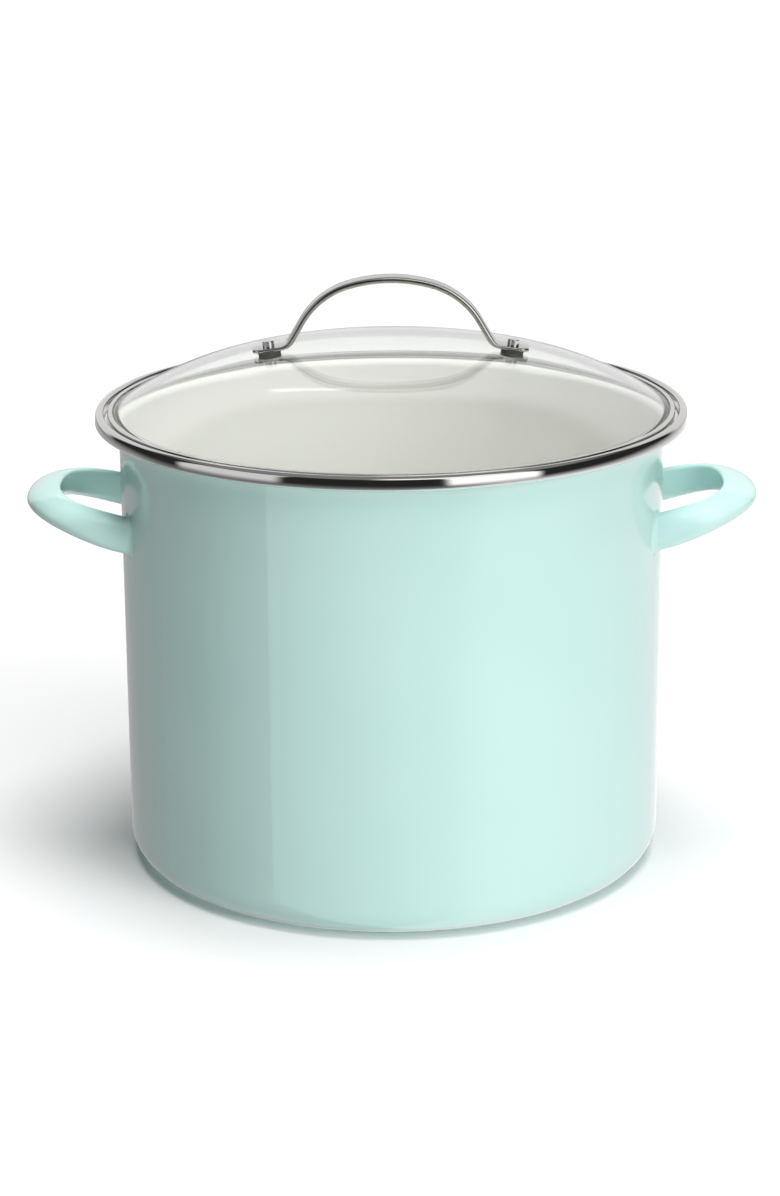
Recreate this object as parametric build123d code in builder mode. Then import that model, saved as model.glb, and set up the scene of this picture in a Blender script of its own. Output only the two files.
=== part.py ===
from build123d import *
from math import asin, atan2, copysign, cos, degrees, hypot, radians, sin, sqrt, tan
import os

# Water bath canner: enamelled pot, glass lid with a strap handle, folding-bail jar rack.
# Millimetres, +Z up. The origin is the centre of the flat ring that the pot stands on,
# and the two side handles lie along X.

# ---------------------------------------------------------------- driving dimensions
# Pot
body_r = 150.0            # outside of the straight wall
corner_r = 17.0           # outside radius between floor and wall
steel = 1.6               # sheet thickness of the pot
enamel = 0.5              # thickness of the white lining
recess_r = 118.0          # edge of the raised middle of the base
recess_ramp = 3.0         # width of the ramp down to the standing ring
recess_depth = 1.2        # how far the middle of the base stands off the floor
neck_z = 245.5            # where the wall starts to flare
neck_r = 3.0              # outside radius of the flare
flange_r = 159.2          # where the flange turns up into the lip
lip_bend = 2.0            # outside radius of that turn
lip_top = 254.6           # top of the pressed lip
seat_end = 158.2          # outer edge of the lining on the lid's seat

# Steel rim band folded over the lip
band_in = 158.2
band_out = 163.0
band_top = 256.8
band_low_in = 250.8
band_low_out = 250.1
band_round = 2.0          # fillet of the two top edges
band_hem_round = 0.8      # fillet of the outer lower edge

# Side handles: pressed hollow loops
loop_in_y = 41.1          # half width of the finger gap at the wall
loop_in_x = 33.3          # depth of the finger gap
leg_width = 10.1
tip_width = 18.8
leg_height = 20.0
tip_height = 13.3
leg_z = 196.2
tip_z = 207.8
loop_wall = 1.5
loop_top_round = 0.12     # radius of the crisp top edge, as a share of the section's height
loop_low_round = 0.3      # radius under the finger gap, as a share of the height
loop_belly = -0.08        # height of the section's widest place, as a share of the height
loop_arcs = 12            # stretches between sections round the loop
loop_squareness = 2.47    # exponent of the loop's plan curve; 2 is a plain ellipse
loop_spread = 1.6         # how late along a leg its section turns into the tip's
weld_flare = 2.4          # how far a leg swells into its weld at the wall
leg_start = 6.0           # last plain section of a leg, inside the wall's outer radius
leg_end = 13.0            # flared end section of a leg, likewise; the wall cuts it off

# Lid
glass_top = 289.3         # crown of the dome
glass_t = 4.0
crown_r = 520.0           # radius of the flat middle of the dome
crown_end = 80.0          # where the middle hands over to the steeper shoulder
shoulder_end = 152.6      # where the shoulder meets the flat edge
edge_r = 155.2            # outside of the glass
edge_top = 255.6
edge_low = 251.7
lid_band_out = 156.0
lid_band_top = 256.4
lid_band_low = 250.9
lid_band_lip_top = 153.4
lid_band_lip_low = 150.9
lid_band_round = 0.9
lid_band_lip_round = 0.35

# Lid handle and its fixings
stud_x = 66.5             # each fixing's distance from the middle
foot_end_x = 75.5
strap_width = 13.0
strap_t = 3.3             # thickness over the arch
foot_t = 1.9              # the feet are pressed thinner
strap_foot_round = 4.5    # plan corners of the feet
strap_edge_round = 0.8
knee_round_top = 6.0      # bend from leg to foot, on the strap's upper and lower face
knee_round_low = 9.0
strap_top = 328.0
crown_arc_r = 84.0
crown_arc_x = 23.6        # where the flat crown of the arch ends
shoulder_arc_r = 45.0
leg_slope = 60.0          # degrees
gasket_t = 0.7
spacer_t = 1.3
gasket_r = 6.2
spacer_r = 6.9
spacer_taper = 0.5        # how much narrower a spacer is at its foot
fixing_hole_r = 2.2
screw_r = 1.95
glass_hole_r = 4.1
gasket_neck_gap = 0.05    # clearance of the gasket's neck in the glass's hole
gasket_neck_short = 0.2   # how far the neck stops short of the glass's underside
nut_r = 3.3
nut_h = 3.5
nut_round = 0.5
nut_cap = 1.0             # metal left over the nut's blind hole
washer_r = 6.6
washer_t = 1.0
screw_head_r = 4.6
screw_head_h = 2.2
screw_head_round = 1.2
screw_gap = 0.2           # space between the screw's tip and the end of the nut's hole
slot_length = 4.6         # cross recess of the screw
slot_width = 1.0
slot_depth = 1.3
cut_margin = 1.0          # how far a cutting tool starts and ends clear of its face

# Jar rack
thin_wire = 1.5           # wire radii
thick_wire = 2.0
weld_bite = 0.12          # how far welded wires sink into each other
frame_in = 50.0           # inner leg of each divider frame
frame_out = 134.0         # outer leg of each divider frame
frame_low = 12.0
frame_high = 70.0
frame_bend = 8.0
cell_count = 6            # jars around the middle one
base_ring_radii = (44.0, 86.0, 125.0)
top_ring_z = 60.0
low_ring_z = 24.0
foot_r = 131.0
foot_low = 2.6
foot_bend = 4.0
eye_y = 47.0
eye_z = 76.0
pin_clearance = 0.05
bail_half_width = 41.0
bail_height = 115.0
bail_bend = 4.0
bail_lean = 4.0           # degrees outwards at rest
pin_head_r = 3.0
pin_head_t = 1.2
pin_head_gap = 1.0        # space between an eye and the head on the end of its pin

os.makedirs("parts", exist_ok=True)


def save(part, name):
    """Label a finished piece and write its STEP file."""
    part.label = name
    export_step(part, f"parts/{name}.step")


# ---------------------------------------------------------------- pot
ramp_turn = tan(atan2(recess_depth, recess_ramp) / 2)


def wall_line(depth):
    """Half section of the pot's wall, a given depth inside its outer surface."""
    shift = depth * ramp_turn
    corner_x = body_r - corner_r
    Polyline(
        (0, recess_depth + depth),
        (recess_r + shift, recess_depth + depth),
        (recess_r + recess_ramp + shift, depth),
        (corner_x, depth),
    )
    CenterArc((corner_x, corner_r), corner_r - depth, -90, 90)
    Line((body_r - depth, corner_r), (body_r - depth, neck_z))
    CenterArc((body_r + neck_r, neck_z), neck_r + depth, 180, -90)


flange_z = neck_z + neck_r
lip_out = flange_r + lip_bend
lip_in = lip_out - steel

with BuildPart() as pot_shell:
    with BuildSketch(Plane.XZ):
        with BuildLine():
            wall_line(0)
            Line((body_r + neck_r, flange_z), (flange_r, flange_z))
            CenterArc((flange_r, flange_z + lip_bend), lip_bend, -90, 90)
            Polyline((lip_out, flange_z + lip_bend), (lip_out, lip_top), (lip_in, lip_top),
                     (lip_in, flange_z + lip_bend))
            CenterArc((flange_r, flange_z + lip_bend), lip_bend - steel, -90, 90)
            Line((flange_r, flange_z + steel), (body_r + neck_r, flange_z + steel))
            wall_line(steel)
            Line((0, recess_depth), (0, recess_depth + steel))
        make_face()
    revolve(axis=Axis.Z)
save(pot_shell.part, "pot_shell")

with BuildPart() as pot_lining:
    with BuildSketch(Plane.XZ):
        with BuildLine():
            seat_z = flange_z + steel
            wall_line(steel)
            Polyline((body_r + neck_r, seat_z), (seat_end, seat_z), (seat_end, seat_z + enamel),
                     (body_r + neck_r, seat_z + enamel))
            wall_line(steel + enamel)
            Line((0, recess_depth + steel), (0, recess_depth + steel + enamel))
        make_face()
    revolve(axis=Axis.Z)
save(pot_lining.part, "pot_lining")

with BuildPart() as rim_band:
    with BuildSketch(Plane.XZ) as rim_section:
        with BuildLine():
            Polyline(
                (lip_out, band_low_out), (band_out, band_low_out), (band_out, band_top),
                (band_in, band_top), (band_in, band_low_in), (lip_in, band_low_in),
                (lip_in, lip_top), (lip_out, lip_top), close=True,
            )
        make_face()
        fillet(rim_section.vertices().group_by(Axis.Y)[-1], band_round)
        fillet(rim_section.vertices().group_by(Axis.X)[-1].sort_by(Axis.Y)[0], band_hem_round)
    revolve(axis=Axis.Z)
save(rim_band.part, "rim_band")


# ---------------------------------------------------------------- side handles
def loop_section(width, height):
    """Section of a side handle: upright inner face, crisp top edge, broad convex outside."""
    inner = -width / 2
    top = height / 2
    low = -height / 2
    top_r = loop_top_round * height
    low_r = loop_low_round * height
    belly = loop_belly * height
    with BuildSketch() as section:
        with BuildLine():
            Line((inner, low + low_r), (inner, top - top_r))
            CenterArc((inner + top_r, top - top_r), top_r, 90, 90)
            EllipticalCenterArc((inner + top_r, belly), width - top_r, top - belly,
                                start_angle=0, arc_size=90)
            EllipticalCenterArc((inner + low_r, belly), width - low_r, belly - low,
                                start_angle=270, arc_size=90)
            CenterArc((inner + low_r, low + low_r), low_r, 180, 90)
        make_face()
    return section.sketch


def loop_stations():
    """Places along the loop: centre x, centre y and heading in degrees."""
    middle_y = loop_in_y + leg_width / 2
    middle_x = loop_in_x + tip_width / 2
    power = 2 / loop_squareness
    stations = [(body_r - leg_end, -middle_y, 0.0), (body_r - leg_start, -middle_y, 0.0)]
    for step in range(loop_arcs + 1):
        angle = radians(180 * step / loop_arcs - 90)
        along = max(cos(angle), 0.0)
        across = copysign(abs(sin(angle)), angle)
        x = body_r + middle_x * along ** power
        y = middle_y * copysign(abs(across) ** power, across)
        run = -middle_x * copysign(abs(across) ** (2 - power), across)
        heading = degrees(atan2(middle_y * along ** (2 - power), run))
        stations.append((x, y, heading))
    stations.append((body_r - leg_start, middle_y, 180.0))
    stations.append((body_r - leg_end, middle_y, 180.0))
    return stations


def loop_solid(inset):
    """The loop as one solid, its skin set in by a given amount."""
    with BuildPart() as loop:
        for x, y, heading in loop_stations():
            reach = (x - body_r) / (loop_in_x + tip_width / 2)
            tipness = max(reach, 0.0) ** loop_spread
            width = leg_width + (tip_width - leg_width) * tipness - 2 * inset
            height = leg_height + (tip_height - leg_height) * tipness - 2 * inset
            if x < body_r - leg_start:
                width += weld_flare
                height += weld_flare
            z = leg_z + (tip_z - leg_z) * reach
            along = Vector(cos(radians(heading)), sin(radians(heading)), 0)
            outward = along.rotate(Axis.Z, -90)
            section = loop_section(width, height)
            with BuildSketch(Plane(origin=(x, y, z), x_dir=outward, z_dir=-along)):
                add(section)
        loft()
    return loop.part


with BuildPart() as side_handle_right:
    add(loop_solid(0))
    add(loop_solid(loop_wall), mode=Mode.SUBTRACT)
    with Locations((0, 0, leg_z)):
        Cylinder(body_r, 3 * leg_height, mode=Mode.SUBTRACT)
save(side_handle_right.part, "side_handle_right")

with BuildPart() as side_handle_left:
    add(mirror(side_handle_right.part, about=Plane.YZ))
save(side_handle_left.part, "side_handle_left")

# ---------------------------------------------------------------- lid glass and band
crown_centre_z = glass_top - crown_r
crown_turn = asin(crown_end / crown_r)
crown_end_z = crown_centre_z + crown_r * cos(crown_turn)
chord = hypot(shoulder_end - crown_end, crown_end_z - edge_top)
chord_turn = atan2(crown_end_z - edge_top, shoulder_end - crown_end)
shoulder_turn = 2 * (chord_turn - crown_turn)
shoulder_r = chord / (2 * sin(shoulder_turn / 2))
shoulder_x = crown_end - shoulder_r * sin(crown_turn)
shoulder_z = crown_end_z - shoulder_r * cos(crown_turn)
last_turn = crown_turn + shoulder_turn


def dome_line(depth):
    """Half section of the dome, a given depth under its upper surface."""
    CenterArc((0, crown_centre_z), crown_r - depth, 90, -degrees(crown_turn))
    CenterArc((shoulder_x, shoulder_z), shoulder_r - depth, 90 - degrees(crown_turn),
              -degrees(shoulder_turn))


stud_turn = asin(stud_x / crown_r)


def stud_plane(side, height):
    """Plane square to a handle fixing, a given height above the glass."""
    outward = side * sin(stud_turn)
    reach = crown_r + height
    return Plane(origin=(reach * outward, 0, crown_centre_z + reach * cos(stud_turn)),
                 x_dir=(cos(stud_turn), 0, -outward), z_dir=(outward, 0, cos(stud_turn)))


with BuildPart() as lid_glass:
    with BuildSketch(Plane.XZ):
        with BuildLine():
            under_x = shoulder_end - glass_t * sin(last_turn)
            under_z = edge_top - glass_t * cos(last_turn)
            dome_line(0)
            Polyline((shoulder_end, edge_top), (edge_r, edge_top), (edge_r, edge_low),
                     (under_x, edge_low), (under_x, under_z))
            dome_line(glass_t)
            Line((0, glass_top), (0, glass_top - glass_t))
        make_face()
    revolve(axis=Axis.Z)
    for side in (-1, 1):
        with BuildSketch(stud_plane(side, cut_margin)):
            Circle(glass_hole_r)
        extrude(amount=-(glass_t + 2 * cut_margin), mode=Mode.SUBTRACT)
save(lid_glass.part, "lid_glass")

with BuildPart() as lid_rim_band:
    with BuildSketch(Plane.XZ) as lid_band_section:
        with BuildLine():
            Polyline(
                (edge_r, edge_low), (lid_band_lip_low, edge_low), (lid_band_lip_low, lid_band_low),
                (lid_band_out, lid_band_low), (lid_band_out, lid_band_top),
                (lid_band_lip_top, lid_band_top), (lid_band_lip_top, edge_top), (edge_r, edge_top),
                close=True,
            )
        make_face()
        fillet(lid_band_section.vertices().group_by(Axis.X)[-1], lid_band_round)
        lip_corner = lid_band_section.vertices().group_by(Axis.Y)[-1].sort_by(Axis.X)[0]
        fillet(lip_corner, lid_band_lip_round)
    revolve(axis=Axis.Z)
save(lid_rim_band.part, "lid_rim_band")

# ---------------------------------------------------------------- lid handle
stack_low = gasket_t + spacer_t          # underside of a foot above the glass
stack_high = stack_low + foot_t          # top of a foot above the glass
slope = radians(leg_slope)
crown_arc_turn = asin(crown_arc_x / crown_arc_r)
arch_shoulder_x = crown_arc_x - shoulder_arc_r * sin(crown_arc_turn)
arch_shoulder_z = strap_top - crown_arc_r + (crown_arc_r - shoulder_arc_r) * cos(crown_arc_turn)


def foot_point(height, along):
    """Point of a right foot, at a height above the glass and a distance along the foot."""
    return (
        (crown_r + height) * sin(stud_turn) + along * cos(stud_turn),
        crown_centre_z + (crown_r + height) * cos(stud_turn) - along * sin(stud_turn),
    )


def knee_point(height, depth):
    """Where a foot's face, at a height, meets the leg's face, a depth inside the arch."""
    leg_x = arch_shoulder_x + (shoulder_arc_r - depth) * sin(slope)
    leg_z0 = arch_shoulder_z + (shoulder_arc_r - depth) * cos(slope)
    foot_x, foot_z = foot_point(height, 0)
    drop = leg_z0 - foot_z + tan(stud_turn) * (leg_x - foot_x)
    reach = drop / (tan(slope) - tan(stud_turn))
    return leg_x + reach, leg_z0 - reach * tan(slope)


def arch_line(depth, height):
    """Right half of the strap's face at a depth inside the arch and a height on the foot."""
    arc_end_x = arch_shoulder_x + (shoulder_arc_r - depth) * sin(slope)
    arc_end_z = arch_shoulder_z + (shoulder_arc_r - depth) * cos(slope)
    CenterArc((0, strap_top - crown_arc_r), crown_arc_r - depth, 90, -degrees(crown_arc_turn))
    CenterArc((arch_shoulder_x, arch_shoulder_z), shoulder_arc_r - depth,
              90 - degrees(crown_arc_turn), -degrees(slope - crown_arc_turn))
    Polyline((arc_end_x, arc_end_z), knee_point(height, depth), foot_point(height, foot_end_x - stud_x))


with BuildPart() as lid_handle:
    with BuildSketch(Plane.XZ) as strap_side:
        with BuildLine():
            arch_line(0, stack_high)
            Line(foot_point(stack_high, foot_end_x - stud_x), foot_point(stack_low, foot_end_x - stud_x))
            arch_line(strap_t, stack_low)
            Line((0, strap_top - strap_t), (0, strap_top))
        make_face()
        top_knee = knee_point(stack_high, 0)
        low_knee = knee_point(stack_low, strap_t)
        fillet(strap_side.vertices().sort_by_distance((*top_knee, 0))[0], knee_round_top)
        fillet(strap_side.vertices().sort_by_distance((*low_knee, 0))[0], knee_round_low)
        mirror(about=Plane.YZ)
    extrude(amount=strap_width / 2, both=True)
    side_edges = lid_handle.edges().filter_by(Axis.Y, reverse=True)
    foot_corners = side_edges.filter_by(
        lambda edge: abs(edge.center().X) > stud_x and edge.length < 2 * foot_t)
    fillet(foot_corners, strap_foot_round)
    side_edges = lid_handle.edges().filter_by(Axis.Y, reverse=True)
    fillet(side_edges.filter_by(lambda edge: edge.length > 2 * foot_t), strap_edge_round)
    for side in (-1, 1):
        with BuildSketch(stud_plane(side, stack_high + cut_margin)):
            Circle(fixing_hole_r)
        extrude(amount=-(foot_t + 2 * cut_margin), mode=Mode.SUBTRACT)
save(lid_handle.part, "lid_handle")


# ---------------------------------------------------------------- lid handle fixings
def ring_piece(side, low, high, outer_low, outer_high, bore):
    """Round washer-like piece on a fixing's axis, between two heights above the glass."""
    with BuildPart() as piece:
        with BuildSketch(stud_plane(side, low)):
            Circle(outer_low)
            Circle(bore, mode=Mode.SUBTRACT)
        with BuildSketch(stud_plane(side, high)):
            Circle(outer_high)
            Circle(bore, mode=Mode.SUBTRACT)
        loft()
    return piece


for side, word in ((-1, "left"), (1, "right")):
    under = -glass_t - gasket_t
    spacer = ring_piece(side, gasket_t, stack_low, spacer_r - spacer_taper, spacer_r, fixing_hole_r)
    save(spacer.part, f"handle_spacer_{word}")
    lower_gasket = ring_piece(side, under, -glass_t, gasket_r, gasket_r, fixing_hole_r)
    save(lower_gasket.part, f"lower_gasket_{word}")
    lower_washer = ring_piece(side, under - washer_t, under, washer_r, washer_r, fixing_hole_r)
    save(lower_washer.part, f"lower_washer_{word}")

    with BuildPart() as upper_gasket:
        with BuildSketch(stud_plane(side, gasket_t)):
            Circle(gasket_r)
        extrude(amount=-gasket_t)
        with BuildSketch(stud_plane(side, gasket_t)):
            Circle(glass_hole_r - gasket_neck_gap)
        extrude(amount=-(gasket_t + glass_t - gasket_neck_short))
        with BuildSketch(stud_plane(side, gasket_t)):
            Circle(fixing_hole_r)
        extrude(amount=-(gasket_t + glass_t), mode=Mode.SUBTRACT)
    save(upper_gasket.part, f"upper_gasket_{word}")

    with BuildPart() as cap_nut:
        with BuildSketch(stud_plane(side, stack_high)):
            Circle(nut_r)
        extrude(amount=nut_h)
        top_edges = cap_nut.edges().filter_by(GeomType.CIRCLE).group_by(Axis.Z)[-1]
        fillet(top_edges, nut_round)
        with BuildSketch(stud_plane(side, stack_high)):
            Circle(screw_r)
        extrude(amount=nut_h - nut_cap, mode=Mode.SUBTRACT)
    save(cap_nut.part, f"handle_nut_{word}")

    with BuildPart() as screw:
        with BuildSketch(stud_plane(side, under - washer_t)):
            Circle(screw_r)
        extrude(amount=stack_high + nut_h - nut_cap - screw_gap - under + washer_t)
        with BuildSketch(stud_plane(side, under - washer_t)):
            Circle(screw_head_r)
        extrude(amount=-screw_head_h)
        head_edges = screw.edges().filter_by(GeomType.CIRCLE).group_by(Axis.Z)[0]
        fillet(head_edges, screw_head_round)
        with BuildSketch(stud_plane(side, under - washer_t - screw_head_h)):
            Rectangle(slot_length, slot_width)
            Rectangle(slot_width, slot_length)
        extrude(amount=slot_depth, mode=Mode.SUBTRACT)
    save(screw.part, f"handle_screw_{word}")


# ---------------------------------------------------------------- jar rack
def wire_ring(radius, z, wire):
    """Round ring of wire about the pot's axis."""
    with BuildPart() as ring:
        with BuildSketch(Plane.XZ):
            with Locations((radius, z)):
                Circle(wire)
        revolve(axis=Axis.Z)
    return ring.part


with BuildSketch(Plane.XZ) as frame_outline:
    with Locations(((frame_in + frame_out) / 2, (frame_low + frame_high) / 2)):
        RectangleRounded(frame_out - frame_in, frame_high - frame_low, frame_bend)
frame_path = frame_outline.sketch.face().outer_wire()
with BuildPart() as one_frame:
    with BuildSketch(Plane(origin=frame_path @ 0, z_dir=frame_path % 0)):
        Circle(thin_wire)
    sweep(path=frame_path)
with BuildPart() as rack_dividers:
    with PolarLocations(0, cell_count, start_angle=180 / cell_count):
        add(one_frame.part)
save(rack_dividers.part, "rack_dividers")

rings_z = frame_low + 2 * thin_wire - weld_bite
with BuildPart() as rack_base_rings:
    for radius in base_ring_radii:
        add(wire_ring(radius, rings_z, thin_wire))
save(rack_base_rings.part, "rack_base_rings")

outer_ring_r = frame_out + thin_wire + thick_wire - weld_bite
with BuildPart() as rack_top_ring:
    add(wire_ring(outer_ring_r, top_ring_z, thick_wire))
save(rack_top_ring.part, "rack_top_ring")

with BuildPart() as rack_bottom_ring:
    add(wire_ring(outer_ring_r, low_ring_z, thick_wire))
save(rack_bottom_ring.part, "rack_bottom_ring")

with BuildPart() as rack_center_ring:
    add(wire_ring(frame_in - 2 * thin_wire + weld_bite, top_ring_z, thin_wire))
save(rack_center_ring.part, "rack_center_ring")

with BuildPart() as one_spoke:
    with BuildLine(Plane.XZ) as spoke_line:
        FilletPolyline((-foot_r, foot_low), (-foot_r, frame_low), (foot_r, frame_low),
                       (foot_r, foot_low), radius=foot_bend)
    spoke_path = spoke_line.wire()
    with BuildSketch(Plane(origin=spoke_path @ 0, z_dir=spoke_path % 0)):
        Circle(thin_wire)
    sweep(path=spoke_path)
with BuildPart() as rack_base_wires:
    with PolarLocations(0, cell_count // 2):
        add(one_spoke.part)
save(rack_base_wires.part, "rack_base_wires")

eye_x = sqrt(outer_ring_r ** 2 - eye_y ** 2)
eye_bore = thick_wire + pin_clearance
with BuildPart() as rack_eyes:
    for side_x in (-1, 1):
        for side_y in (-1, 1):
            spot = (side_x * eye_x, side_y * eye_y)
            with Locations(Location((*spot, eye_z), (90, 0, 0))):
                Torus(eye_bore + thin_wire, thin_wire)
            post_low = top_ring_z + thick_wire - weld_bite
            with BuildSketch(Plane.XY.offset(post_low)):
                with Locations(spot):
                    Circle(thin_wire)
            extrude(amount=eye_z - eye_bore - thin_wire - post_low)
save(rack_eyes.part, "rack_eyes")

lean = radians(bail_lean)
bail_plane = Plane(origin=(eye_x, 0, eye_z), x_dir=(0, 1, 0), z_dir=(cos(lean), 0, -sin(lean)))
pin_end = eye_y + thin_wire + pin_head_gap + pin_head_t
with BuildPart() as rack_handle_right:
    with BuildLine(bail_plane) as bail_line:
        arch_y = bail_height - bail_half_width
        FilletPolyline((pin_end, 0), (bail_half_width, 0), (bail_half_width, arch_y), radius=bail_bend)
        CenterArc((0, arch_y), bail_half_width, 0, 180)
        FilletPolyline((-bail_half_width, arch_y), (-bail_half_width, 0), (-pin_end, 0), radius=bail_bend)
    bail_path = bail_line.wire()
    with BuildSketch(Plane(origin=bail_path @ 0, z_dir=bail_path % 0)):
        Circle(thick_wire)
    sweep(path=bail_path)
    for side_y in (-1, 1):
        with Locations(Location((eye_x, side_y * (pin_end - pin_head_t / 2), eye_z), (90, 0, 0))):
            Cylinder(pin_head_r, pin_head_t)
save(rack_handle_right.part, "rack_handle_right")

with BuildPart() as rack_handle_left:
    add(mirror(rack_handle_right.part, about=Plane.YZ))
save(rack_handle_left.part, "rack_handle_left")
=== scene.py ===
from math import asin, atan2, cos, hypot, pi, radians, sin, sqrt, tan

import bmesh
import bpy
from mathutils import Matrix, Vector


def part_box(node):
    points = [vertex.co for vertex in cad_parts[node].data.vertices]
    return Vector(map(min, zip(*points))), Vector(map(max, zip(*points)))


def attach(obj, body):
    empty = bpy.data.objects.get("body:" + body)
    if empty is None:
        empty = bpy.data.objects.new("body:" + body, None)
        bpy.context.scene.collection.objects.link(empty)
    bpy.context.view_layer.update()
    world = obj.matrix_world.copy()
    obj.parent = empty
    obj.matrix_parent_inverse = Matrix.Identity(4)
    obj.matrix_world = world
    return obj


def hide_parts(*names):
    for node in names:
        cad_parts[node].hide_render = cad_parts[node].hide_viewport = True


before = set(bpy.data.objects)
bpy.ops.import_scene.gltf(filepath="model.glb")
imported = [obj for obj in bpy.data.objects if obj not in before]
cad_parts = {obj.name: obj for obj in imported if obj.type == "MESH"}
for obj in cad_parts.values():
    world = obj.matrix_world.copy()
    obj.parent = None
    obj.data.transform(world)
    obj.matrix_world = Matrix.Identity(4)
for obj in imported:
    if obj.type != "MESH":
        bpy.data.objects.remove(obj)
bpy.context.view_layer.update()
MM = 0.001

# ---------------------------------------------------------------- sizes, from the frame
pot_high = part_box("pot_shell")[1]
band_low, band_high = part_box("rim_band")
glass_low, glass_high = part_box("lid_glass")
lid_band_low, lid_band_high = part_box("lid_rim_band")
loop_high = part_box("side_handle_right")[1]
strap_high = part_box("lid_handle")[1]

# Pot, in metres
BODY_R = 150 * MM
CORNER_R = 17 * MM
STEEL = 1.6 * MM
ENAMEL = 0.5 * MM
RECESS_R = 118 * MM
RECESS_RAMP = 3 * MM
RECESS = 1.2 * MM
NECK_R = 3 * MM
SEAT_END = 158.2 * MM
BAND_OUT = band_high[0]
BAND_TOP = band_high[2]
BAND_LOW = band_low[2]
NECK_Z = BAND_TOP - 11.3 * MM
LIP_IN = 159.6 * MM
LIP_OUT = 161.2 * MM
LIP_TOP = pot_high[2]
RAMP_ROUND = 2 * MM         # where the floor steps down to the standing ring
LIP_ROOT_ROUND = 2 * MM     # where the flange turns up into the lip
LIP_INNER_ROUND = 0.4 * MM
LIP_ROUND = 0.5 * MM
SEAT_ROUND = 0.3 * MM

# Rim band
CURL_LEAN = 0.65 * MM       # how far the outer face leans in towards the top
CURL_ROUND = 2.6 * MM
CURL_LIFT = 0.05 * MM
HEM_ROUND = 0.8 * MM
INNER_ROUND = 1.6 * MM
INNER_LEG_SHORT = 0.7 * MM  # how much higher the inner leg ends than the outer one
FOLD_ROUND = 0.3 * MM

# Lid
CROWN_R = 520 * MM
CROWN_END = 80 * MM
SHOULDER_END = 152.6 * MM
GLASS_T = 4 * MM
GLASS_R = glass_high[0]
GLASS_TOP = glass_high[2]
GLASS_LOW = glass_low[2]
EDGE_TOP = GLASS_LOW + 3.9 * MM
GLASS_EDGE_ROUND = 0.8 * MM
GLASS_STEP_ROUND = 0.5 * MM
STUD_X = 66.5 * MM

# Lid band
LID_BAND_TOP_IN = 153.3 * MM
LID_BAND_LOW_IN = 150.9 * MM
LID_BAND_GAP = 0.02 * MM    # clearance between the channel and the glass
CHANNEL_ROUND = 0.3 * MM

# ---------------------------------------------------------------- mesh helpers


def finish_mesh(name, bm, material, body, *nodes):
    """Turn a bmesh into a piece that rides on a body and stands for CAD nodes."""
    bmesh.ops.recalc_face_normals(bm, faces=bm.faces)
    for face in bm.faces:
        face.smooth = True
    mesh = bpy.data.meshes.new(name)
    bm.to_mesh(mesh)
    bm.free()
    piece = bpy.data.objects.new(name, mesh)
    bpy.context.scene.collection.objects.link(piece)
    mesh.materials.append(material)
    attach(piece, body)
    if nodes:
        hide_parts(*nodes)
    return piece


def rounded(corners, steps):
    """Outline through (x, z, radius) corners, each rounded by an arc of that radius."""
    line = []
    count = len(corners)
    for index, (x, z, radius) in enumerate(corners):
        here = Vector((x, z))
        if radius <= 0 or index in (0, count - 1):
            line.append(here)
            continue
        before = (Vector(corners[index - 1][:2]) - here).normalized()
        after = (Vector(corners[index + 1][:2]) - here).normalized()
        half = before.angle(after) / 2
        reach = radius / tan(half)
        middle = here + (before + after).normalized() * radius / sin(half)
        start = here + before * reach - middle
        end = here + after * reach - middle
        turn = atan2(start.x * end.y - start.y * end.x, start.dot(end))
        count_here = max(steps, int(abs(turn) / radians(12)))
        for step in range(count_here + 1):
            angle = turn * step / count_here
            line.append(middle + Vector((
                start.x * cos(angle) - start.y * sin(angle),
                start.x * sin(angle) + start.y * cos(angle))))
    return line


def closed(corners, steps):
    """As rounded, for a closed outline: every corner is rounded."""
    wrapped = [corners[-1], *corners, corners[0]]
    return rounded(wrapped, steps)[1:-1]


def arc(centre, radius, start, size, steps):
    """Points of an arc, angles in radians."""
    turns = [start + size * step / steps for step in range(steps + 1)]
    return [Vector((centre[0] + radius * cos(turn), centre[1] + radius * sin(turn))) for turn in turns]


def lathe(line, loop=True):
    """Turn a half section about Z. A point on the axis becomes a single vertex."""
    segments = 256
    on_axis = 1e-6
    bm = bmesh.new()
    rings = []
    for x, z in line:
        if x < on_axis:
            rings.append([bm.verts.new((0, 0, z))])
            continue
        turns = [2 * pi * step / segments for step in range(segments)]
        rings.append([bm.verts.new((x * cos(turn), x * sin(turn), z)) for turn in turns])
    pairs = list(zip(rings, rings[1:]))
    if loop:
        pairs.append((rings[-1], rings[0]))
    for one, two in pairs:
        if len(one) == 1 and len(two) == 1:
            continue
        for turn in range(segments):
            after = (turn + 1) % segments
            if len(one) == 1:
                bm.faces.new((one[0], two[turn], two[after]))
            elif len(two) == 1:
                bm.faces.new((one[turn], two[0], one[after]))
            else:
                bm.faces.new((one[turn], two[turn], two[after], one[after]))
    return bm


def skin(sections):
    """Join a run of equal closed sections, each a list of points, into a tube with closed ends."""
    bm = bmesh.new()
    rings = [[bm.verts.new(point) for point in section] for section in sections]
    for one, two in zip(rings, rings[1:]):
        count = len(one)
        for index in range(count):
            after = (index + 1) % count
            bm.faces.new((one[index], one[after], two[after], two[index]))
    bm.faces.new(rings[0])
    bm.faces.new(rings[-1])
    return bm


# ---------------------------------------------------------------- material helpers


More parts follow.
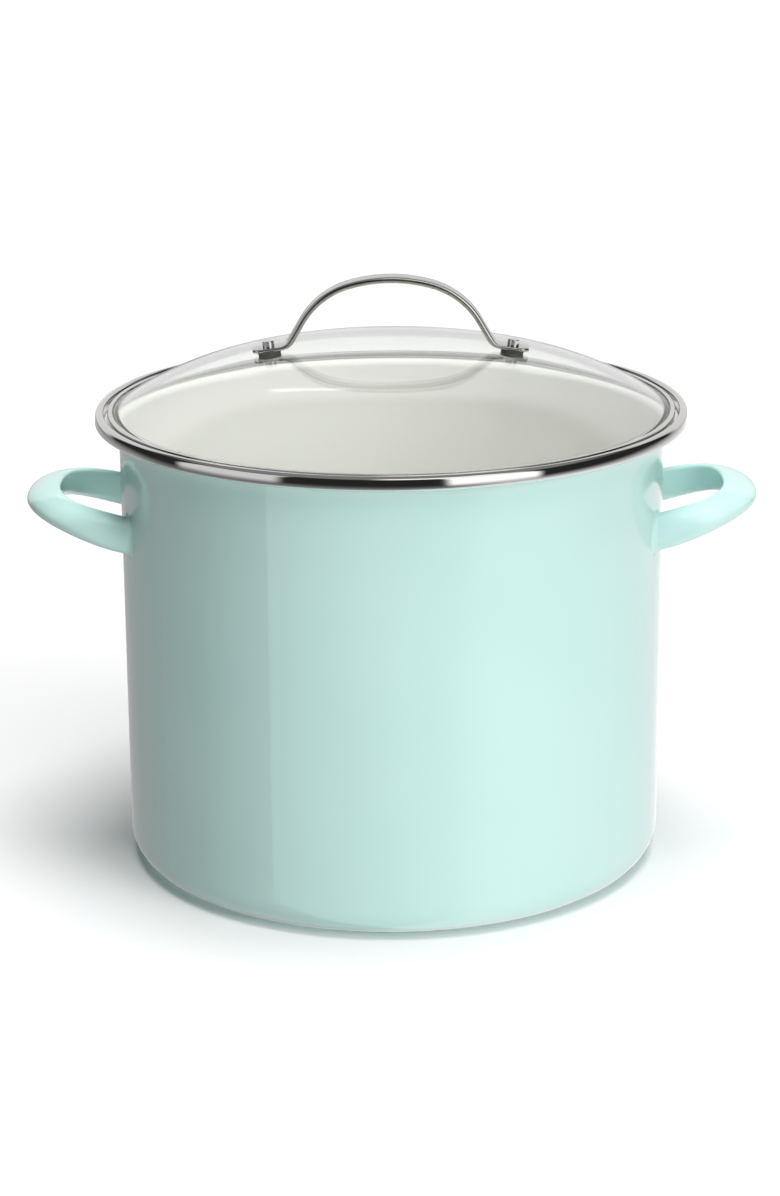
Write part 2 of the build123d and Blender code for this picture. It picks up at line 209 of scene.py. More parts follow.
class Nodes:
    """A material's node tree, with short calls for the nodes that the finishes share."""

    def __init__(self, name):
        self.material = bpy.data.materials.new(name)
        self.material.use_nodes = True
        self.tree = self.material.node_tree
        self.shader = self.tree.nodes["Principled BSDF"]
        self.output = self.tree.nodes["Material Output"]
        self.place = self.add("ShaderNodeTexCoord").outputs["Object"]

    def add(self, kind, **values):
        node = self.tree.nodes.new(kind)
        for key, value in values.items():
            setattr(node, key, value)
        return node

    def link(self, source, target):
        self.tree.links.new(source, target)

    def put(self, socket, value):
        """Link a socket to an output, or set it to a value."""
        if isinstance(value, bpy.types.NodeSocket):
            self.link(value, socket)
        else:
            socket.default_value = value

    def set(self, **values):
        """Plain values on the Principled shader: words of a socket's name joined by _."""
        for key, value in values.items():
            self.shader.inputs[key.replace("_", " ")].default_value = value

    def math(self, operation, one, two=0.0):
        node = self.add("ShaderNodeMath", operation=operation)
        self.put(node.inputs[0], one)
        self.put(node.inputs[1], two)
        return node.outputs[0]

    def stretch(self, scale):
        """Object coordinates scaled by a triple."""
        node = self.add("ShaderNodeMapping")
        node.inputs["Scale"].default_value = scale
        self.link(self.place, node.inputs["Vector"])
        return node.outputs["Vector"]

    def noise(self, scale, detail=3.0, roughness=0.5, vector=None):
        node = self.add("ShaderNodeTexNoise")
        node.inputs["Scale"].default_value = scale
        node.inputs["Detail"].default_value = detail
        node.inputs["Roughness"].default_value = roughness
        self.link(vector or self.place, node.inputs["Vector"])
        return node.outputs["Fac"]

    def spots(self, scale):
        """Distance to the nearest of a scatter of points."""
        node = self.add("ShaderNodeTexVoronoi")
        node.inputs["Scale"].default_value = scale
        self.link(self.place, node.inputs["Vector"])
        return node.outputs["Distance"]

    def between(self, source, low, high, start, end, smooth=False):
        """Remap a value, clamped."""
        node = self.add("ShaderNodeMapRange")
        node.interpolation_type = "SMOOTHSTEP" if smooth else "LINEAR"
        for name, value in (("From Min", low), ("From Max", high), ("To Min", start), ("To Max", end)):
            node.inputs[name].default_value = value
        self.link(source, node.inputs["Value"])
        return node.outputs["Result"]

    def blend(self, factor, one, two):
        """Mix two colours."""
        node = self.add("ShaderNodeMix", data_type="RGBA")
        self.put(node.inputs["Factor"], factor)
        for socket, value in ((node.inputs[6], one), (node.inputs[7], two)):
            self.put(socket, value if isinstance(value, bpy.types.NodeSocket) else (*value, 1.0))
        return node.outputs[2]

    def bump(self, height, distance, strength=1.0, under=None):
        node = self.add("ShaderNodeBump")
        node.inputs["Distance"].default_value = distance
        node.inputs["Strength"].default_value = strength
        self.link(height, node.inputs["Height"])
        if under is not None:
            self.link(under, node.inputs["Normal"])
        return node.outputs["Normal"]

    def radius(self):
        """Distance from the pot's axis, and height."""
        parts = self.add("ShaderNodeSeparateXYZ")
        self.link(self.place, parts.inputs[0])
        squares = self.math("ADD", self.math("MULTIPLY", parts.outputs[0], parts.outputs[0]),
                            self.math("MULTIPLY", parts.outputs[1], parts.outputs[1]))
        return self.math("SQRT", squares), parts.outputs[2]


# ---------------------------------------------------------------- materials


def mint_enamel():
    """Fired glass enamel over steel: glossy, faintly uneven, worn where it stands, with a painted
    highlight as a paler band just under the rim band.
    """
    n = Nodes("mint_enamel")
    mint = (0.606, 0.872, 0.826)
    # colour of the painted highlight, a paler mint, for the band just under the rim band
    painted_highlight_colour = (0.71, 0.91, 0.87)
    deep = (0.580, 0.850, 0.802)
    bare = (0.10, 0.11, 0.11)
    height = n.radius()[1]
    cloud = n.between(n.noise(9.0, 2.0), 0.35, 0.65, 0.0, 1.0, smooth=True)
    colour = n.blend(cloud, deep, mint)
    # painted highlight: the colour turns paler in a band just under the rim band
    painted_highlight_band = n.between(height, NECK_Z - 6 * MM, NECK_Z - 1 * MM, 0.0, 0.55, smooth=True)
    colour = n.blend(painted_highlight_band, colour, painted_highlight_colour)
    specks = n.between(n.spots(260.0), 0.0, 0.055, 0.35, 0.0)
    rare = n.between(n.noise(30.0, 0.0), 0.62, 0.66, 0.0, 1.0)
    colour = n.blend(n.math("MULTIPLY", specks, rare), colour, (0.30, 0.42, 0.40))
    low = n.between(height, 0.0, 0.0009, 1.0, 0.0)
    patchy = n.between(n.noise(120.0, 4.0, 0.65), 0.50, 0.60, 0.0, 1.0)
    worn = n.math("MULTIPLY", low, patchy)
    colour = n.blend(worn, colour, bare)
    n.link(colour, n.shader.inputs["Base Color"])
    smears = n.between(n.noise(14.0, 5.0, 0.6), 0.3, 0.75, 0.10, 0.19)
    n.link(n.math("ADD", smears, n.math("MULTIPLY", worn, 0.35)), n.shader.inputs["Roughness"])
    peel = n.noise(85.0, 2.0)
    sag = n.noise(11.0, 1.0)
    waves = n.bump(sag, 0.0022, 0.35)
    n.link(n.bump(peel, 0.00022, 0.30, waves), n.shader.inputs["Normal"])
    n.set(IOR=1.52, Coat_Weight=0.35, Coat_Roughness=0.04, Coat_IOR=1.5)
    return n.material


def white_enamel():
    """The off-white lining, with the faint dusting of dots that such enamel fires with."""
    n = Nodes("white_enamel")
    base = (0.845, 0.845, 0.80)
    warm = (0.82, 0.818, 0.77)
    cloud = n.between(n.noise(7.0, 3.0), 0.35, 0.65, 0.0, 1.0, smooth=True)
    colour = n.blend(cloud, warm, base)
    dots = n.between(n.spots(420.0), 0.0, 0.07, 0.22, 0.0)
    colour = n.blend(dots, colour, (0.45, 0.46, 0.43))
    n.link(colour, n.shader.inputs["Base Color"])
    n.link(n.between(n.noise(20.0, 4.0), 0.3, 0.7, 0.14, 0.26), n.shader.inputs["Roughness"])
    n.link(n.bump(n.noise(90.0, 2.0), 0.0003, 0.3, n.bump(n.noise(13.0, 1.0), 0.002, 0.3)),
           n.shader.inputs["Normal"])
    n.set(IOR=1.5)
    return n.material


def polished_steel(name, tint, stretch_by, low, high, depth):
    """Polished stainless steel with fine polishing lines along one direction and faint smears."""
    n = Nodes(name)
    lines = n.noise(1.0, 2.0, 0.5, n.stretch(stretch_by))
    smears = n.between(n.noise(38.0, 5.0, 0.65), 0.35, 0.7, low, high)
    n.link(n.math("ADD", smears, n.math("MULTIPLY", lines, 0.05)), n.shader.inputs["Roughness"])
    dull = tuple(0.86 * part for part in tint)
    n.link(n.blend(n.between(lines, 0.3, 0.7, 0.0, 1.0), dull, tint), n.shader.inputs["Base Color"])
    waves = n.bump(n.noise(26.0, 1.0), 0.0006, 0.25)
    n.link(n.bump(lines, depth, 0.5, waves), n.shader.inputs["Normal"])
    n.set(Metallic=1.0)
    return n.material


def rim_steel():
    """The rim bands: polishing lines run round the pot, so they vary with height and radius only."""
    n = Nodes("rim_steel")
    reach, height = n.radius()
    pair = n.add("ShaderNodeCombineXYZ")
    n.link(reach, pair.inputs[0])
    n.link(height, pair.inputs[1])
    lines = n.noise(5200.0, 2.0, 0.6, pair.outputs[0])
    smears = n.between(n.noise(34.0, 5.0, 0.65), 0.4, 0.75, 0.02, 0.09)
    n.link(n.math("ADD", smears, n.math("MULTIPLY", lines, 0.03)), n.shader.inputs["Roughness"])
    scuffs = n.between(n.noise(300.0, 3.0, 0.7, n.stretch((1, 1, 6))), 0.66, 0.74, 0.0, 0.25)
    colour = n.blend(scuffs, (0.70, 0.69, 0.675), (0.46, 0.455, 0.44))
    n.link(colour, n.shader.inputs["Base Color"])
    waves = n.bump(n.noise(24.0, 1.0), 0.0006, 0.25)
    n.link(n.bump(lines, 0.000006, 0.4, waves), n.shader.inputs["Normal"])
    n.set(Metallic=1.0)
    return n.material


def lid_glass_material():
    """Clear tempered glass, faintly green, with a breath of smears. Light for other surfaces passes
    through it as through a clear film, since its own refraction would put the pot in shadow."""
    n = Nodes("lid_glass")
    smears = n.between(n.noise(9.0, 6.0, 0.7), 0.52, 0.75, 0.0, 0.035)
    n.link(smears, n.shader.inputs["Roughness"])
    n.link(n.bump(n.noise(7.0, 1.0), 0.0010, 0.15), n.shader.inputs["Normal"])
    n.set(Base_Color=(0.975, 0.99, 0.98, 1.0), IOR=1.46, Transmission_Weight=1.0)
    path = n.add("ShaderNodeLightPath")
    clear = n.add("ShaderNodeBsdfTransparent")
    clear.inputs["Color"].default_value = (0.975, 0.98, 0.975, 1.0)
    mix = n.add("ShaderNodeMixShader")
    n.link(path.outputs["Is Shadow Ray"], mix.inputs[0])
    n.link(n.shader.outputs[0], mix.inputs[1])
    n.link(clear.outputs[0], mix.inputs[2])
    n.link(mix.outputs[0], n.output.inputs["Surface"])
    return n.material


def silicone():
    """Matt dark grey silicone with a fine moulded grain."""
    n = Nodes("spacer_silicone")
    grain = n.noise(900.0, 3.0, 0.6)
    n.link(n.blend(n.between(n.noise(120.0, 4.0), 0.35, 0.7, 0.0, 1.0), (0.10, 0.104, 0.10),
                   (0.16, 0.168, 0.16)), n.shader.inputs["Base Color"])
    n.link(n.between(grain, 0.3, 0.7, 0.48, 0.68), n.shader.inputs["Roughness"])
    n.link(n.bump(grain, 0.00005, 0.6), n.shader.inputs["Normal"])
    n.set(IOR=1.43)
    return n.material


def turned_steel():
    """Nuts, screws and washers: bright, with small handling marks."""
    n = Nodes("fixing_steel")
    marks = n.noise(700.0, 4.0, 0.7)
    n.link(n.blend(n.between(marks, 0.55, 0.75, 0.0, 0.5), (0.70, 0.70, 0.69), (0.42, 0.42, 0.41)),
           n.shader.inputs["Base Color"])
    n.link(n.between(marks, 0.3, 0.7, 0.08, 0.22), n.shader.inputs["Roughness"])
    n.link(n.bump(marks, 0.00002, 0.5), n.shader.inputs["Normal"])
    n.set(Metallic=1.0)
    return n.material


def plated_wire():
    """Bright plated wire, drawn, slightly cloudy, duller in patches."""
    n = Nodes("rack_wire")
    cloud = n.noise(55.0, 5.0, 0.65)
    n.link(n.blend(n.between(cloud, 0.4, 0.7, 0.0, 1.0), (0.68, 0.68, 0.67), (0.50, 0.50, 0.49)),
           n.shader.inputs["Base Color"])
    n.link(n.between(cloud, 0.3, 0.7, 0.12, 0.30), n.shader.inputs["Roughness"])
    n.link(n.bump(n.noise(1500.0, 2.0), 0.00003, 0.5), n.shader.inputs["Normal"])
    n.set(Metallic=1.0)
    return n.material


MINT = mint_enamel()
WHITE = white_enamel()
RIM = rim_steel()
STRAP = polished_steel("handle_steel", (0.62, 0.61, 0.59), (30, 2600, 2600), 0.10, 0.20, 0.00002)
GLASS = lid_glass_material()
SILICONE = silicone()
FIXING = turned_steel()
WIRE = plated_wire()

# ---------------------------------------------------------------- pot


def wall_corners(depth):
    """Half section of the wall, a depth inside its outer surface, as corners to round."""
    shift = depth * tan(atan2(RECESS, RECESS_RAMP) / 2)
    return [
        (0, RECESS + depth, 0),
        (RECESS_R + shift, RECESS + depth, RAMP_ROUND),
        (RECESS_R + RECESS_RAMP + shift, depth, RAMP_ROUND),
        (BODY_R - depth, depth, CORNER_R - depth),
        (BODY_R - depth, NECK_Z + NECK_R + depth, NECK_R + depth),
    ]


def pot_shell():
    """The pressed steel pot with its flange and upturned lip, enamelled."""
    low = NECK_Z + NECK_R
    lip = [
        (LIP_OUT, low, LIP_ROOT_ROUND),
        (LIP_OUT, LIP_TOP, LIP_ROUND),
        (LIP_IN, LIP_TOP, LIP_ROUND),
        (LIP_IN, low + STEEL, LIP_INNER_ROUND),
    ]
    corners = wall_corners(0) + lip + wall_corners(STEEL)[::-1]
    shell = lathe(rounded(corners, 6), loop=False)
    piece = finish_mesh("pot_shell_enamelled", shell, MINT, "pot", "pot_shell")


def pot_lining():
    """The white enamel inside the pot and over the lid's seat."""
    seat = NECK_Z + NECK_R + STEEL
    end = [(SEAT_END, seat, SEAT_ROUND / 3), (SEAT_END, seat + ENAMEL, SEAT_ROUND)]
    corners = wall_corners(STEEL) + end + wall_corners(STEEL + ENAMEL)[::-1]
    lining = lathe(rounded(corners, 6), loop=False)
    piece = finish_mesh("pot_lining_enamel", lining, WHITE, "pot", "pot_lining")


def rim_band():
    """Polished band folded over the lip: a full outer curl, a slim inner leg."""
    inner_low = BAND_LOW + INNER_LEG_SHORT
    corners = [
        (LIP_OUT, BAND_LOW, 0.2 * MM),
        (BAND_OUT + CURL_LIFT, BAND_LOW, HEM_ROUND),
        (BAND_OUT - CURL_LEAN, BAND_TOP, CURL_ROUND),
        (SEAT_END, BAND_TOP, INNER_ROUND),
        (SEAT_END, inner_low, 0.4 * MM),
        (LIP_IN, inner_low, FOLD_ROUND),
        (LIP_IN, LIP_TOP, FOLD_ROUND),
        (LIP_OUT, LIP_TOP, FOLD_ROUND),
    ]
    piece = finish_mesh("rim_band_polished", lathe(closed(corners, 4)), RIM, "pot", "rim_band")


# ---------------------------------------------------------------- side handles
LOOP_IN_Y = 41.1 * MM
LOOP_IN_X = 33.3 * MM
LEG_WIDTH = 10.1 * MM
TIP_WIDTH = 18.8 * MM
LEG_HEIGHT = 20.0 * MM
TIP_HEIGHT = 13.3 * MM
TIP_Z = loop_high[2] - TIP_HEIGHT / 2
LEG_Z = TIP_Z - 11.6 * MM
LOOP_POWER = 2 / 2.47       # 1 gives a plain ellipse in plan, less a squarer loop
LOOP_SPREAD = 1.6           # how late along a leg its section turns into the tip's
TOP_ROUND = 0.12            # radii and widest place of the section, as shares of its height
LOW_ROUND = 0.3
BELLY = -0.08
MIDDLE_Y = LOOP_IN_Y + LEG_WIDTH / 2
MIDDLE_X = LOOP_IN_X + TIP_WIDTH / 2
WELD_R = 2.8 * MM           # fillet between leg and wall
WELD_SINK = 0.3 * MM        # how far the leg's end lies under the wall's surface
LEG_REACH = 2.5 * MM        # where the leg's sections are plane again, outside the wall's radius


def loop_outline(width, height):
    """Section of a side handle: upright inner face, crisp top edge, broad convex outside."""
    inner = -width / 2
    top = height / 2
    low = -height / 2
    top_r = TOP_ROUND * height
    low_r = LOW_ROUND * height
    belly = BELLY * height
    # quarter turns: start angle, steps, centre u and v, radius along u and along v
    quarters = (
        (180, 5, inner + top_r, top - top_r, top_r, top_r),
        (90, 12, inner + top_r, belly, width - top_r, top - belly),
        (0, 12, inner + low_r, belly, width - low_r, belly - low),
        (-90, 6, inner + low_r, low + low_r, low_r, low_r),
    )
    points = [(inner, top - top_r)]
    for start, steps, centre_u, centre_v, radius_u, radius_v in quarters:
        for step in range(1, steps + 1):
            angle = radians(start - 90 * step / steps)
            points.append((centre_u + radius_u * cos(angle), centre_v + radius_v * sin(angle)))
    return points


def swelling(gap):
    """How far the weld's fillet stands off the leg, a given distance from the wall."""
    rise = min(max(1 - gap / WELD_R, 0.0), 1.0)
    return WELD_R * (1 - sqrt(1 - rise * rise))


def loop_section(x, y, heading, share=1.0):
    """A placed section of the right side handle. A share below 1 slides it back to the wall, where
    it takes the wall's curve and swells into the weld."""
    # u runs outwards across the loop, v upwards
    out = Vector((sin(heading), -cos(heading), 0))
    reach = (x - BODY_R) / MIDDLE_X
    blend = max(reach, 0.0) ** LOOP_SPREAD
    outline = loop_outline(LEG_WIDTH + (TIP_WIDTH - LEG_WIDTH) * blend,
                           LEG_HEIGHT + (TIP_HEIGHT - LEG_HEIGHT) * blend)
    points = []
    for index, (u, v) in enumerate(outline):
        before = outline[index - 1]
        after = outline[(index + 1) % len(outline)]
        gap = swell = 0.0
        run = Vector((after[0] - before[0], after[1] - before[1])).normalized()
        if share < 1:
            wall = sqrt(BODY_R ** 2 - (y + out.y * u) ** 2)
            gap = (x - wall) * share - WELD_SINK * (1 - share)
            swell = swelling(gap)
        spot = Vector((x, y, 0)) + out * (u - run.y * swell)
        if share < 1:
            spot.x = sqrt(BODY_R ** 2 - spot.y ** 2) + gap
            reach = (spot.x - BODY_R) / MIDDLE_X
        spot.z = LEG_Z + (TIP_Z - LEG_Z) * reach + v + run.x * swell
        points.append(spot)
    return points


def side_handle(side):
    """Pressed loop with its welds, on one side of the pot: 1 is the right, -1 the left."""
    leg_x = BODY_R + LEG_REACH
    # sections of a leg from the wall outwards, closest together in the weld
    shares = (0.0, 0.02, 0.045, 0.08, 0.12, 0.165, 0.215, 0.27, 0.33, 0.4, 0.5, 0.65, 0.82, 1.0)
    sections = [loop_section(leg_x, -MIDDLE_Y, 0.0, share) for share in shares]
    turns = 56
    for step in range(1, turns):
        angle = -pi / 2 + pi * step / turns
        along = cos(angle)
        across = abs(sin(angle))
        sign = 1 if angle > 0 else -1
        run_x = -MIDDLE_X * sign * across ** (2 - LOOP_POWER)
        run_y = MIDDLE_Y * along ** (2 - LOOP_POWER)
        x = BODY_R + MIDDLE_X * along ** LOOP_POWER
        y = MIDDLE_Y * sign * across ** LOOP_POWER
        sections.append(loop_section(x, y, atan2(run_y, run_x)))
    sections += [loop_section(leg_x, MIDDLE_Y, pi, share) for share in shares[::-1]]
    bm = skin([[Vector((side * point.x, point.y, point.z)) for point in section] for section in sections])
    word = "right" if side > 0 else "left"
    piece = finish_mesh(f"side_handle_{word}_enamelled", bm, MINT, "pot", f"side_handle_{word}")


# ---------------------------------------------------------------- lid
crown_centre = GLASS_TOP - CROWN_R
crown_turn = asin(CROWN_END / CROWN_R)
crown_end_z = crown_centre + CROWN_R * cos(crown_turn)
chord = hypot(SHOULDER_END - CROWN_END, crown_end_z - EDGE_TOP)
shoulder_turn = 2 * (atan2(crown_end_z - EDGE_TOP, SHOULDER_END - CROWN_END) - crown_turn)
shoulder_r = chord / (2 * sin(shoulder_turn / 2))
shoulder_centre = (CROWN_END - shoulder_r * sin(crown_turn), crown_end_z - shoulder_r * cos(crown_turn))
stud_turn = asin(STUD_X / CROWN_R)


def dome_line(depth):
    """Half section of the dome from its crown to its edge, a depth under its upper surface."""
    crown = arc((0, crown_centre), CROWN_R - depth, pi / 2, -crown_turn, 24)
    shoulder = arc(shoulder_centre, shoulder_r - depth, pi / 2 - crown_turn, -shoulder_turn, 28)
    return crown + shoulder[1:]


def lid_glass():
    """The domed glass, one thickness, with its flat edge inside the band."""
    upper = dome_line(0)
    under = dome_line(GLASS_T)
    rim = rounded([
        (*upper[-1], 0),
        (GLASS_R, EDGE_TOP, GLASS_EDGE_ROUND),
        (GLASS_R, GLASS_LOW, GLASS_EDGE_ROUND),
        (under[-1].x, GLASS_LOW, GLASS_STEP_ROUND),
        (*under[-1], 0),
    ], 4)
    line = upper[:-1] + rim + under[::-1][1:]
    piece = finish_mesh("lid_glass_dome", lathe(line, loop=False), GLASS, "lid", "lid_glass")


def lid_band():
    """Rolled steel channel that holds the glass's edge."""
    out = lid_band_high[0]
    top = lid_band_high[2]
    low = lid_band_low[2]
    channel_out = GLASS_R + LID_BAND_GAP
    channel_top = EDGE_TOP + LID_BAND_GAP
    channel_low = GLASS_LOW - LID_BAND_GAP
    corners = [
        (out, low, 0.9 * MM),
        (out, top, 1.1 * MM),
        (LID_BAND_TOP_IN, top, 0.35 * MM),
        (LID_BAND_TOP_IN, channel_top, 0.2 * MM),
        (channel_out, channel_top, CHANNEL_ROUND),
        (channel_out, channel_low, CHANNEL_ROUND),
        (LID_BAND_LOW_IN, channel_low, 0.2 * MM),
        (LID_BAND_LOW_IN, low, CHANNEL_ROUND),
    ]
    piece = finish_mesh("lid_band_rolled", lathe(closed(corners, 4)), RIM, "lid", "lid_rim_band")


# ---------------------------------------------------------------- lid handle
STRAP_WIDTH = 13 * MM
STRAP_T = 3.3 * MM
STRAP_EDGE = 1.15 * MM      # rounding of the strap's long edges
FOOT_T = 1.9 * MM
FOOT_ROUND = 4.6 * MM       # plan corners of the feet
STACK_LOW = 2.0 * MM        # gasket and spacer under a foot
KNEE_ROUND_TOP = 6 * MM     # bend from leg to foot, on the strap's upper and lower face
KNEE_ROUND_LOW = 9 * MM
FOOT_END = strap_high[0]
STRAP_TOP = strap_high[2]
CROWN_ARC_R = 84 * MM
CROWN_ARC_X = 23.6 * MM
SHOULDER_ARC_R = 45 * MM
LEG_SLOPE = radians(60)


def strap_line(depth, height, knee_r):
    """Right half of one face of the strap, from the top of the arch to the end of the foot."""
    arc_turn = asin(CROWN_ARC_X / CROWN_ARC_R)
    bend = (CROWN_ARC_X - SHOULDER_ARC_R * sin(arc_turn),
            STRAP_TOP - CROWN_ARC_R + (CROWN_ARC_R - SHOULDER_ARC_R) * cos(arc_turn))
    crown = arc((0, STRAP_TOP - CROWN_ARC_R), CROWN_ARC_R - depth, pi / 2, -arc_turn, 14)
    shoulder = arc(bend, SHOULDER_ARC_R - depth, pi / 2 - arc_turn, -(LEG_SLOPE - arc_turn), 16)
    last = shoulder[-1]
    foot_r = CROWN_R + height
    foot = Vector((foot_r * sin(stud_turn), crown_centre + foot_r * cos(stud_turn)))
    drop = last.y - foot.y + tan(stud_turn) * (last.x - foot.x)
    reach = drop / (tan(LEG_SLOPE) - tan(stud_turn))
    knee = (last.x + reach, last.y - reach * tan(LEG_SLOPE))
    end = (FOOT_END, foot.y - (FOOT_END - foot.x) * tan(stud_turn))
    return crown + shoulder[1:-1] + rounded([(*last, 0), (*knee, knee_r), (*end, 0)], 12)


def even(line, count):
    """The line resampled to evenly spaced points."""
    lengths = [0.0]
    for one, two in zip(line, line[1:]):
        lengths.append(lengths[-1] + (two - one).length)
    points = []
    index = 0
    for step in range(count + 1):
        want = lengths[-1] * step / count
        while index < len(line) - 2 and lengths[index + 1] < want:
            index += 1
        span = lengths[index + 1] - lengths[index]
        points.append(line[index].lerp(line[index + 1], (want - lengths[index]) / span))
    return points


def strap_section(top, low):
    """Section of the strap between a point of its upper face and one of its lower face, as points
    along it, up and across."""
    middle = (top + low) / 2
    across = (top - low).normalized()
    thickness = (top - low).length
    width = STRAP_WIDTH / 2
    inside = FOOT_ROUND - (FOOT_END - middle.x)
    if inside > 0:
        narrowest = 0.02 * MM
        width += sqrt(max(FOOT_ROUND ** 2 - inside ** 2, narrowest ** 2)) - FOOT_ROUND
    edge = min(STRAP_EDGE, thickness * 0.49)
    steps = 8
    half = []
    for step in range(steps + 1):
        angle = pi * step / steps - pi / 2
        spot = middle + across * thickness / 2 * sin(angle)
        half.append((spot.x, width - edge + edge * cos(angle), spot.y))
    return half + [(x, -y, z) for x, y, z in half[::-1]]


def lid_handle():
    """Strap handle: softly rounded edges, feet pressed thinner and rounded in plan."""
    count = 110
    upper = even(strap_line(0, STACK_LOW + FOOT_T, KNEE_ROUND_TOP), count)
    lower = even(strap_line(STRAP_T, STACK_LOW, KNEE_ROUND_LOW), count)
    right = [strap_section(top, low) for top, low in zip(upper, lower)]
    left = [[(-x, y, z) for x, y, z in section] for section in right[::-1]]
    piece = finish_mesh("lid_handle_strap", skin(left + right[1:]), STRAP, "lid", "lid_handle")


def repaint():
    """Give each CAD node that stays its own finish, found by the start of its name."""
    finishes = {
        "handle_nut": FIXING,
        "handle_screw": FIXING,
        "lower_washer": FIXING,
        "handle_spacer": SILICONE,
        "upper_gasket": SILICONE,
        "lower_gasket": SILICONE,
        "rack": WIRE,
    }
    for name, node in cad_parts.items():
        for start, material in finishes.items():
            if name.startswith(start):
                for slot in node.material_slots:
                    slot.material = material


# ---------------------------------------------------------------- studio


def join(tree, operation, one, two=0.0):
    """A Math node on two outputs or numbers."""
    node = tree.nodes.new("ShaderNodeMath")
    node.operation = operation
    for socket, value in zip(node.inputs, (one, two)):
        if isinstance(value, bpy.types.NodeSocket):
            tree.links.new(value, socket)
        else:
            socket.default_value = value
    return node.outputs[0]


def ramp(tree, value, low, high):
    """0 below low, 1 above high, smooth between; falls instead where low is above high."""
    node = tree.nodes.new("ShaderNodeMapRange")
    node.interpolation_type = "SMOOTHSTEP"
    rising = low < high
    numbers = (min(low, high), max(low, high), 0.0 if rising else 1.0, 1.0 if rising else 0.0)
    for name, number in zip(("From Min", "From Max", "To Min", "To Max"), numbers):
        node.inputs[name].default_value = number
    tree.links.new(value, node.inputs["Value"])
    return node.outputs["Result"]


def panel(tree, view, box):
    """Brightness of one soft box: a window in azimuth and elevation, degrees, with soft edges."""
    azimuth, half_width, side_soft, bottom, top, edge_soft, bright = box
    turn = radians(azimuth)
    across = join(tree, "ADD", join(tree, "MULTIPLY", view["x"], sin(turn)),
                  join(tree, "MULTIPLY", view["y"], -cos(turn)))
    away = join(tree, "MULTIPLY", join(tree, "ARCCOSINE", across), 180 / pi)
    inside = ramp(tree, away, half_width + side_soft, half_width - side_soft)
    above = ramp(tree, view["elevation"], bottom - edge_soft, bottom + edge_soft)
    below = ramp(tree, view["elevation"], top + edge_soft, top - edge_soft)
    shape = join(tree, "MULTIPLY", inside, join(tree, "MULTIPLY", above, below))
    return join(tree, "MULTIPLY", shape, bright)


def view_parts(tree):
    """Elevation of a direction in degrees, and its heading as a flat unit vector."""
    coordinates = tree.nodes.new("ShaderNodeTexCoord")
    parts = tree.nodes.new("ShaderNodeSeparateXYZ")
    tree.links.new(coordinates.outputs["Generated"], parts.inputs[0])
    x, y, z = parts.outputs
    squares = join(tree, "ADD", join(tree, "MULTIPLY", x, x), join(tree, "MULTIPLY", y, y))
    flat = join(tree, "MAXIMUM", join(tree, "SQRT", squares), 1e-5)
    return {"x": join(tree, "DIVIDE", x, flat), "y": join(tree, "DIVIDE", y, flat),
            "elevation": join(tree, "MULTIPLY", join(tree, "ARCSINE", z), 180 / pi)}


def light_of(tree, boxes, view, base):
    """A Background node lit by a sum of soft boxes over a base brightness."""
    node = tree.nodes.new("ShaderNodeBackground")
    node.inputs["Strength"].default_value = base
    total = base
    for box in boxes:
        total = join(tree, "ADD", total, panel(tree, view, box))
        tree.links.new(total, node.inputs["Strength"])
    return node.outputs[0]


def choose(tree, factor, one, two):
    """One light where the factor is 0, the other where it is 1."""
    node = tree.nodes.new("ShaderNodeMixShader")
    tree.links.new(factor, node.inputs[0])
    tree.links.new(one, node.inputs[1])
    tree.links.new(two, node.inputs[2])
    return node.outputs[0]


def studio_world():
    """White behind the canner, a gentle fill for matt surfaces, soft boxes for what is mirrored, and a
    bright sky for what is seen through the lid."""
    world = bpy.data.worlds.new("studio")
    bpy.context.scene.world = world
    world.use_nodes = True
    tree = world.node_tree
    tree.nodes.clear()
    view = view_parts(tree)
    # azimuth, half width, side softness, bottom, top, edge softness, brightness; azimuth 0 is in
    # front of the canner and grows towards its right. A half width of 181 goes all the way round.
    mirrored = (
        (0, 181, 1, -100, -9, 5, 0.35),
        (108, 74, 12, -100, -9, 5, 0.95),
        (39, 18, 2.5, -6, 38, 4, 1.9),
        (-65, 22, 3, -6, 38, 4, 1.0),
        (-150, 45, 14, -100, -9, 5, 0.28),
        (180, 45, 6, -6, 38, 4, 1.0),
        (-173, 3.5, 1, 30, 32, 0.8, 2.0),
        (28, 34, 7, 42, 64, 4, 1.5),
        (0, 181, 1, 44, 100, 10, 0.30),
    )
    bounced = (
        (0, 181, 1, -100, 0, 6, 0.45),
        (58, 100, 24, -100, 0, 6, 0.55),
        (0, 50, 30, -100, 0, 6, 1.10),
        (0, 181, 1, 0, 100, 6, 0.04),
    )
    darkest_mirrored = 0.03
    sky_brightness = 1.5
    sky_starts, sky_full = 14, 34
    glossy = light_of(tree, mirrored, view, darkest_mirrored)
    fill = light_of(tree, bounced, view, 0.0)
    white = light_of(tree, (), view, 1.0)
    sky = light_of(tree, (), view, sky_brightness)
    path = tree.nodes.new("ShaderNodeLightPath")
    through_glass = choose(tree, ramp(tree, view["elevation"], sky_starts, sky_full), white, sky)
    shown = choose(tree, path.outputs["Is Glossy Ray"], fill, glossy)
    shown = choose(tree, path.outputs["Is Transmission Ray"], shown, through_glass)
    shown = choose(tree, path.outputs["Is Camera Ray"], shown, white)
    output = tree.nodes.new("ShaderNodeOutputWorld")
    tree.links.new(shown, output.inputs["Surface"])


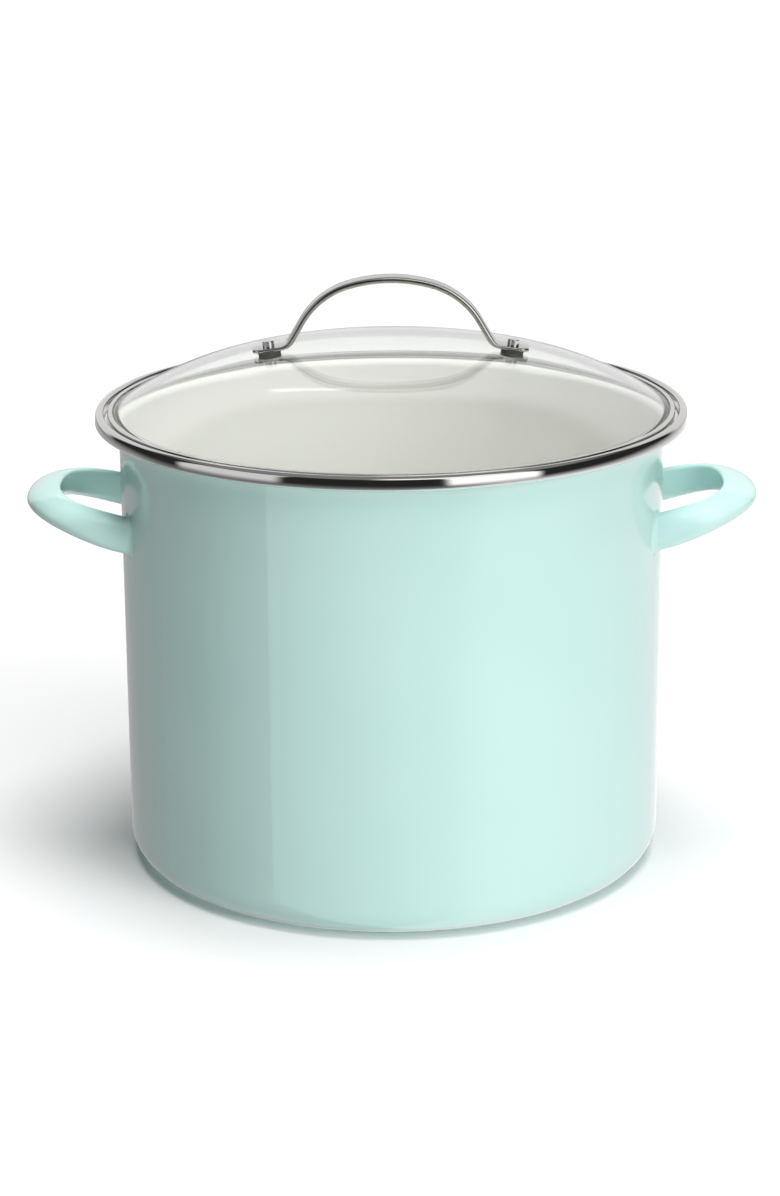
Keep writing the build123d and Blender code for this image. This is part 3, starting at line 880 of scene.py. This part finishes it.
def sun(name, azimuth, elevation, strength, size):
    """Distant soft light, size in degrees. Azimuth 0 comes from the front, 90 from the right."""
    data = bpy.data.lights.new(name, "SUN")
    data.energy = strength
    data.angle = radians(size)
    lamp = bpy.data.objects.new(name, data)
    bpy.context.scene.collection.objects.link(lamp)
    turn = radians(azimuth)
    lift = radians(elevation)
    source = Vector((sin(turn) * cos(lift), -cos(turn) * cos(lift), sin(lift)))
    lamp.rotation_euler = source.to_track_quat("Z", "Y").to_euler()
    lamp.visible_glossy = False
    lamp.visible_transmission = False


def floor():
    """Plain pale floor that takes the shadow. It is kept out of reflections and bounced light, which
    the studio's world gives instead."""
    half = 12.0
    corners = [(-half, -half, 0), (half, -half, 0), (half, half, 0), (-half, half, 0)]
    mesh = bpy.data.meshes.new("floor")
    mesh.from_pydata(corners, [], [(0, 1, 2, 3)])
    plane = bpy.data.objects.new("floor", mesh)
    bpy.context.scene.collection.objects.link(plane)
    pale = 0.93
    n = Nodes("floor_paper")
    n.set(Base_Color=(pale, pale, pale, 1.0), Roughness=0.9, Specular_IOR_Level=0.0)
    mesh.materials.append(n.material)
    plane.visible_glossy = False
    plane.visible_diffuse = False


def camera():
    """Camera at the front, looking slightly down at a point on the pot's axis."""
    distance = 1.67745
    pitch = radians(16.964)
    yaw = radians(-0.051)
    roll = radians(-0.407)
    aim_height = 0.1444
    data = bpy.data.cameras.new("camera")
    data.lens = 89.785
    data.sensor_width = 36.0
    data.clip_end = 60.0
    eye = bpy.data.objects.new("camera", data)
    bpy.context.scene.collection.objects.link(eye)
    forward = Vector((sin(yaw) * cos(pitch), cos(yaw) * cos(pitch), -sin(pitch)))
    right = Vector((cos(yaw), -sin(yaw), 0))
    up = right.cross(forward)
    right, up = cos(roll) * right + sin(roll) * up, cos(roll) * up - sin(roll) * right
    eye.location = (0, -distance * cos(pitch), aim_height + distance * sin(pitch))
    turn = eye.matrix_world.to_3x3()
    turn.col[0] = right
    turn.col[1] = up
    turn.col[2] = -forward
    eye.rotation_euler = turn.to_euler()
    bpy.context.scene.camera = eye


# ---------------------------------------------------------------- build
pot_shell()
pot_lining()
rim_band()
side_handle(1)
side_handle(-1)
lid_glass()
lid_band()
lid_handle()
repaint()
studio_world()
sun("key", 50, 20, 0.95, 30)
sun("front", 22, 55, 0.88, 40)
sun("overhead", 80, 86, 2.5, 36)
floor()
camera()
bpy.context.scene.view_settings.view_transform = "Standard"
